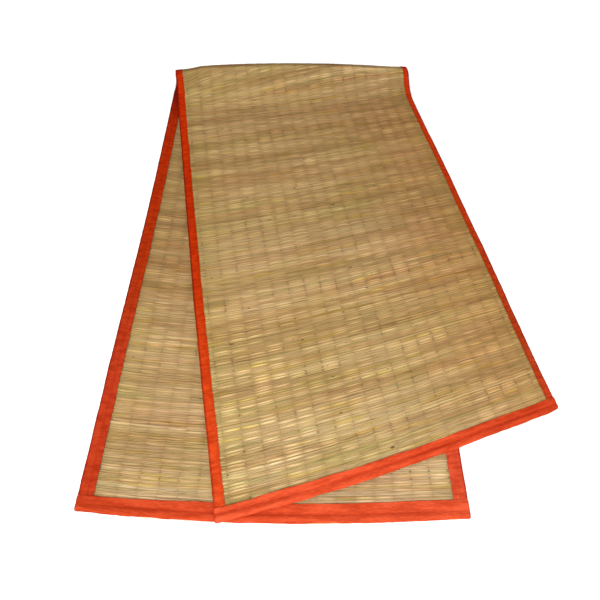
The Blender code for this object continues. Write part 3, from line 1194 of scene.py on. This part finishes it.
def banded(tree, colour, u, s, row):
    """Darker and lighter bands across the mat, and yellow streaks in some of the rows."""
    band = between(tree, mottle(tree, u, s, 2.6, 36.0, 40.0, 3.0), 0.0, 1.0, 0.36, 0.64)
    colour = mixed(tree, "MULTIPLY", 1.0, colour, mixed(tree, "MIX", band, BAND_DARK, BAND_LIGHT))
    streak = between(tree, mottle(tree, u, row, 8.0, 0.6, 55.0, 1.0), 0.0, 0.9, 0.58, 0.72)
    return mixed(tree, "MULTIPLY", streak, colour, YELLOWED)


def warp_dots(tree, u, s, row, off_row, at_warp):
    """Dots of painted shade where the warps cross some of the rows, most of them in patches."""
    in_row = between(tree, cell_noise(tree, 3.0, row), 0.10, 0.9, 0.66, 0.80)
    patchy = between(tree, mottle(tree, u, s, 9.0, 22.0, 33.0, 1.0), 0.15, 1.0, 0.42, 0.62)
    dot = times(tree, calc(tree, "POWER", at_warp, 60.0), between(tree, off_row, 0.65, 0.0, 0.1, 0.45))
    return times(tree, dot, times(tree, in_row, patchy))


def straw_shade(tree, fibre, dot, cell, off_row, at_warp):
    """Painted light and shade over each row, round in section and pinched at the warps, with random tone by
    cell and fibre, and the dots.
    """
    shade = minus(tree, 0.98, times(tree, calc(tree, "POWER", at_warp, 4.0), 0.03))
    shade = times(tree, shade, between(tree, off_row, 1.05, 0.87, 0.15, 0.50))
    shade = times(tree, shade, between(tree, cell, 0.91, 1.08))
    shade = times(tree, shade, between(tree, fibre, 0.90, 1.10, 0.25, 0.75))
    return times(tree, shade, minus(tree, 1.0, dot))


def bright_dashes(tree, u, s, cell, off_row, at_warp):
    """Dashes of shiny straw between the warps, brightened in colour as a painted highlight, more of them at
    the left near the upper end.
    """
    gloss_and_glint = between(tree, mottle(tree, u, s, 7.0, 10.0, 21.0), 0.12, 0.70, 0.42, 0.70)
    near_end = between(tree, ratio(tree, s, MAT_LENGTH), 0.0, 0.7, 0.81, 0.92)
    near_left = times(tree, near_end, between(tree, u, 1.0, 0.0, -0.24, 0.06))
    gloss_and_glint = plus(tree, gloss_and_glint, near_left, clamp=True)
    dash = times(tree, between(tree, cell, 0.0, 1.0, 0.45, 0.80), gloss_and_glint)
    dash = times(tree, dash, minus(tree, 1.0, calc(tree, "POWER", at_warp, 4.0)))
    return times(tree, dash, between(tree, off_row, 1.0, 0.0, 0.10, 0.40))


def flecked(tree, colour, u, s, blade):
    """Brown flecks on the blades, and the one dark spot."""
    fleck = between(tree, mottle(tree, u, blade, 55.0, 1.37, 2.0, 1.0), 0.0, 0.85, 0.735, 0.80)
    spot_u = ratio(tree, minus(tree, u, SPOT_PLACE[0]), SPOT_SIZE[0])
    spot_s = ratio(tree, minus(tree, s, SPOT_PLACE[1]), SPOT_SIZE[1])
    from_spot = put(tree, "ShaderNodeVectorMath", {0: vector(tree, spot_u, spot_s, 0.0)}, operation="LENGTH")
    spot = between(tree, from_spot.outputs["Value"], 0.85, 0.0, 0.6, 1.1)
    return mixed(tree, "MIX", spot, mixed(tree, "MIX", fleck, colour, FLECK_BROWN), FLECK_BROWN)


def straw_tone():
    """Group: the colour, with painted shade and highlights, the gloss and the fibre of the grass at a place
    on the flat mat.
    """
    tree, given, made = new_tree(
        "straw tone",
        "ShaderNodeTree",
        [("Place", "NodeSocketVector", None), ("Blade", "NodeSocketFloat", 0.0)],
        [("Color", "NodeSocketColor"), ("Roughness", "NodeSocketFloat"), ("Fibre", "NodeSocketFloat")],
    )
    u, s, _ = put(tree, "ShaderNodeSeparateXYZ", {0: given["Place"]}).outputs
    blade = given["Blade"]
    base = ramp(tree, ratio(tree, s, MAT_LENGTH), STRAW_ALONG)
    colour = mixed(tree, "MULTIPLY", 0.85, base, blade_tint(tree, u, blade))
    colour = weathered(tree, colour, u, s)
    # Painted shade along the line where the cloth turns over at the fold
    colour = mixed(tree, "MULTIPLY", crest_line(tree, u, s), colour, CREST_SHADE)

    row, off_row = seen_rows(tree, u, s)
    turns = ratio(tree, u, WARP_SPACING)
    at_warp = calc(tree, "ABSOLUTE", calc(tree, "COSINE", times(tree, turns, math.pi)))
    cell = cell_noise(tree, calc(tree, "FLOOR", turns), row)
    fibre = mottle(tree, u, s, 45.0, 5200.0, blade)
    dot = warp_dots(tree, u, s, row, off_row, at_warp)
    dash = bright_dashes(tree, u, s, cell, off_row, at_warp)
    shade = straw_shade(tree, fibre, dot, cell, off_row, at_warp)
    colour = mixed(tree, "MULTIPLY", 1.0, banded(tree, colour, u, s, row), grey(tree, shade))
    # Painted highlight on the shiny dashes
    colour = mixed(tree, "MULTIPLY", dash, colour, PAINTED_GLINT)

    tree.links.new(flecked(tree, colour, u, s, blade), made["Color"])
    tree.links.new(between(tree, dash, 0.80, 0.50), made["Roughness"])
    tree.links.new(fibre, made["Fibre"])
    return tree


def cloth_tone():
    """Group: fading, a plain weave's height, and the masks of painted shade along the folded edge and in the
    seam's groove, for cotton tape at a place on the flat mat.
    """
    tree, given, made = new_tree(
        "cloth tone",
        "ShaderNodeTree",
        [
            ("Place", "NodeSocketVector", None),
            ("Inset", "NodeSocketFloat", 0.01),
            ("Seam", "NodeSocketFloat", 0.0),
            ("Grain", "NodeSocketVector", (70, 70, 70)),
        ],
        [(label, "NodeSocketFloat") for label in ("Faded", "Rim", "Seam", "Height")],
    )
    u, s, _ = put(tree, "ShaderNodeSeparateXYZ", {0: given["Place"]}).outputs
    threads = [
        calc(tree, "SINE", times(tree, place, math.tau / CLOTH_THREAD)) for place in (u, s)
    ]
    weave = times(tree, *threads)
    grain = put(tree, "ShaderNodeVectorMath", {0: given["Place"], 1: given["Grain"]}, operation="MULTIPLY")
    close = put(tree, "ShaderNodeVectorMath", {0: grain.outputs[0], 1: (5, 5, 5)}, operation="MULTIPLY")
    wide = noise(tree, grain.outputs[0], 3.0)
    fine = noise(tree, close.outputs[0], 2.0)
    faded = plus(tree, times(tree, wide, 0.6), times(tree, fine, 0.4))
    from_middle = calc(tree, "ABSOLUTE", minus(tree, s, MAT_LENGTH / 2))
    # The rim is painted shade along the folded edge, weaker towards the mat's ends
    rim_strength = between(tree, from_middle, 0.8, 0.45, 0.60, 1.00)
    rim = times(tree, between(tree, given["Inset"], 1.0, 0.0, 0.0022, 0.0044), rim_strength)
    # Uneven strength of the painted shade in the seam's groove
    blotch = between(tree, wide, 0.45, 1.0, 0.35, 0.6)
    height = plus(tree, times(tree, weave, 0.35), fine)
    tree.links.new(between(tree, faded, 0.0, 1.0, 0.34, 0.66), made["Faded"])
    tree.links.new(rim, made["Rim"])
    tree.links.new(times(tree, given["Seam"], blotch), made["Seam"])
    tree.links.new(height, made["Height"])
    return tree


def new_material(name, roughness, gloss=0.05):
    """A material with its shader, whose plain values are set on the shader's own sockets."""
    material = bpy.data.materials.new(name)
    material.use_nodes = True
    tree = material.node_tree
    shader = tree.nodes["Principled BSDF"].inputs
    shader["Roughness"].default_value = roughness
    shader["Specular IOR Level"].default_value = gloss
    return material, tree, shader


def group(tree, made, inputs):
    node = put(tree, "ShaderNodeGroup", node_tree=made)
    for name, value in inputs.items():
        if isinstance(value, bpy.types.NodeSocket):
            tree.links.new(value, node.inputs[name])
        else:
            node.inputs[name].default_value = value
    return node.outputs


def raised(tree, height, distance):
    """The normal of a surface raised by that distance where the height is 1."""
    return put(tree, "ShaderNodeBump", {"Height": height, "Distance": distance, "Strength": 1.0}).outputs[0]


def grass_material(name, tone, blade_of, dim, bump):
    material, tree, shader = new_material(name, 0.7, gloss=0.3)
    place = kept(tree, "flat")["Vector"]
    straw = group(tree, tone, {"Place": place, "Blade": blade_of(tree, place)})
    colour = straw["Color"]
    # A dim below 1 darkens the straw as painted shade, as for the ground in the gaps under the blades
    if dim < 1:
        colour = mixed(tree, "MULTIPLY", 1.0, colour, (dim, dim * 0.9, dim * 0.8))
    tree.links.new(colour, shader["Base Color"])
    tree.links.new(straw["Roughness"], shader["Roughness"])
    tree.links.new(raised(tree, straw["Fibre"], bump), shader["Normal"])
    return material


def side_dye_and_shade(tree, place):
    # Dye of the side tapes, with painted shade where they lie in the fold
    u, s, _ = put(tree, "ShaderNodeSeparateXYZ", {0: place}).outputs
    along = ratio(tree, s, MAT_LENGTH)
    on_right = calc(tree, "GREATER_THAN", u, 0.0)
    return mixed(tree, "MIX", on_right, ramp(tree, along, LEFT_DYE_AND_SHADE), ramp(tree, along, RIGHT_DYE_AND_SHADE))


def end_dye(tree, place):
    u, s, _ = put(tree, "ShaderNodeSeparateXYZ", {0: place}).outputs
    along = plus(tree, ratio(tree, u, MAT_WIDTH), 0.5)
    on_upper = calc(tree, "GREATER_THAN", s, MAT_LENGTH / 2)
    return mixed(tree, "MIX", on_upper, ramp(tree, along, LOWER_END_DYE), ramp(tree, along, UPPER_END_DYE))


def tape_material(name, tone, dye_and_shade, dark, seam_shade, grain):
    """Cotton tape: faded on the high spots, with painted shade in the seam's groove, along the side tapes'
    folded edges and at the end tapes' tips.
    """
    material, tree, shader = new_material(name, 0.85, gloss=0.015)
    place = kept(tree, "flat")["Vector"]
    inputs = {"Place": place, "Inset": kept(tree, "inset")["Fac"], "Seam": kept(tree, "seam")["Fac"]}
    cloth = group(tree, tone, {**inputs, "Grain": grain})
    patchy = mixed(tree, "MIX", cloth["Faded"], (0.76, 0.62, 0.55), (1.16, 1.32, 1.40))
    colour = mixed(tree, "MULTIPLY", 1.0, dye_and_shade(tree, place), patchy)
    # Painted shade in the seam's groove, and along the folded edges and at the tips
    colour = mixed(tree, "MULTIPLY", cloth["Seam"], colour, seam_shade)
    colour = mixed(tree, "MIX", cloth["Rim"], colour, dark)
    tree.links.new(colour, shader["Base Color"])
    tree.links.new(between(tree, cloth["Faded"], 0.92, 0.75), shader["Roughness"])
    tree.links.new(raised(tree, cloth["Height"], 0.00025), shader["Normal"])
    return material


def thread_material(name, first, second):
    """Twisted cotton thread."""
    material, tree, shader = new_material(name, 0.8)
    place = kept(tree, "flat")["Vector"]
    u, s, n = put(tree, "ShaderNodeSeparateXYZ", {0: place}).outputs
    speck = noise(tree, vector(tree, *[times(tree, part, 600.0) for part in (u, s, n)]), 2.0)
    twist = calc(tree, "SINE", times(tree, plus(tree, plus(tree, u, s), n), 9000.0))
    colour = mixed(tree, "MIX", between(tree, speck, 0.0, 1.0, 0.35, 0.65), first, second)
    tree.links.new(colour, shader["Base Color"])
    tree.links.new(raised(tree, twist, 0.00008), shader["Normal"])
    return material


def floor_material():
    material, tree, shader = new_material("pale floor", 0.9)
    place = put(tree, "ShaderNodeTexCoord").outputs["Object"]
    cloud = noise(tree, put(tree, "ShaderNodeMapping", {"Vector": place, "Scale": (3, 3, 3)}).outputs[0])
    tree.links.new(mixed(tree, "MIX", cloud, (0.93, 0.93, 0.93), (0.96, 0.96, 0.96)), shader["Base Color"])
    return material


# Floor, light and camera

BRIGHT_SIDE = (0.0, -0.6, 0.8)
KEY_PLACE = (-0.4, -1.3, 1.7)
KEY_TARGET = (-0.05, -0.2, 0)
KEY_SIZE = 1.2
KEY_POWER = 42
CAMERA_PLACE = (-0.1128, -0.5801, 0.7623)
CAMERA_ANGLES = (0.1849, 1.046, 0.1127)
CAMERA_LENS = 26.7


def make_floor():
    mesh = bpy.data.meshes.new("floor")
    corners = [(x, y, 0) for x, y in ((-4, -4), (4, -4), (4, 4), (-4, 4))]
    mesh.from_pydata(corners, [], [(0, 1, 2, 3)])
    mesh.materials.append(floor_material())
    floor = bpy.data.objects.new("floor", mesh)
    bpy.context.scene.collection.objects.link(floor)
    return floor


def add_area_light(name, place, target, size, power):
    data = bpy.data.lights.new(name, "AREA")
    data.shape, data.size, data.energy = "DISK", size, power
    light = bpy.data.objects.new(name, data)
    bpy.context.scene.collection.objects.link(light)
    light.location = place
    light.rotation_euler = (Vector(target) - Vector(place)).to_track_quat("-Z", "Y").to_euler()


def light_room():
    """Even light from all round, brighter from the front and above, and one large soft lamp."""
    world = bpy.data.worlds.new("studio")
    world.use_nodes = True
    tree = world.node_tree
    background = tree.nodes["Background"].inputs
    background["Strength"].default_value = 0.95
    towards = put(tree, "ShaderNodeTexCoord").outputs["Generated"]
    front = put(tree, "ShaderNodeVectorMath", {0: towards, 1: BRIGHT_SIDE}, operation="DOT_PRODUCT")
    lit = between(tree, front.outputs["Value"], 0.35, 1.05, -0.7, 0.8)
    tree.links.new(grey(tree, lit), background["Color"])
    bpy.context.scene.world = world
    add_area_light("key", KEY_PLACE, KEY_TARGET, KEY_SIZE, KEY_POWER)
    bpy.context.scene.view_settings.view_transform = "Standard"


def place_camera():
    """A camera that looks down at the mat from its near end, turned by three angles in radians."""
    yaw, pitch, roll = CAMERA_ANGLES
    forward = Vector(
        (math.sin(yaw) * math.cos(pitch), math.cos(yaw) * math.cos(pitch), -math.sin(pitch))
    )
    right = forward.cross(Vector((0, 0, 1))).normalized()
    up = right.cross(forward)
    level = right * math.cos(roll) + up * math.sin(roll)
    upright = up * math.cos(roll) - right * math.sin(roll)
    turned = Matrix((level, upright, -forward)).transposed().to_4x4()
    turned.translation = CAMERA_PLACE
    data = bpy.data.cameras.new("camera")
    data.lens, data.sensor_width, data.clip_start = CAMERA_LENS, 36, 0.01
    camera = bpy.data.objects.new("camera", data)
    bpy.context.scene.collection.objects.link(camera)
    camera.matrix_world = turned
    bpy.context.scene.camera = camera


def blade_number(tree, place):
    return kept(tree, "strand")["Fac"]


def ground_number(tree, place):
    """The number of the blade that lies nearest over the ground."""
    s = put(tree, "ShaderNodeSeparateXYZ", {0: place}).outputs[1]
    return calc(tree, "FLOOR", ratio(tree, s, ROW_PITCH / BLADES_IN_ROW))


def main():
    straw, cloth = straw_tone(), cloth_tone()
    grass = grass_material("grass blades", straw, blade_number, dim=1.0, bump=0.00018)
    under = grass_material("grass in shade", straw, ground_number, dim=0.78, bump=0.0003)
    side_cloth = tape_material(
        "side tape cotton",
        cloth,
        side_dye_and_shade,
        dark=(0.13, 0.006, 0.003),
        seam_shade=(0.7, 0.55, 0.5),
        grain=(55, 150, 70),
    )
    end_cloth = tape_material(
        "end tape cotton",
        cloth,
        end_dye,
        dark=(0.26, 0.014, 0.004),
        seam_shade=(0.62, 0.42, 0.35),
        grain=(20, 150, 70),
    )
    sewing = thread_material("sewing thread", (0.30, 0.018, 0.004), (0.44, 0.032, 0.007))
    warp_cotton = thread_material("warp cotton", (0.28, 0.19, 0.085), (0.42, 0.29, 0.135))

    floor = make_floor()
    ground = make_ground(under)
    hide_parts("grass_panel")
    make_wefts(grass)
    make_warps(warp_cotton)
    make_side_tape("left", -1, side_cloth)
    make_side_tape("right", 1, side_cloth)
    make_end_tape("lower", end_cloth)
    make_end_tape("upper", end_cloth)
    make_stitches(sewing)
    light_room()
    place_camera()


main()
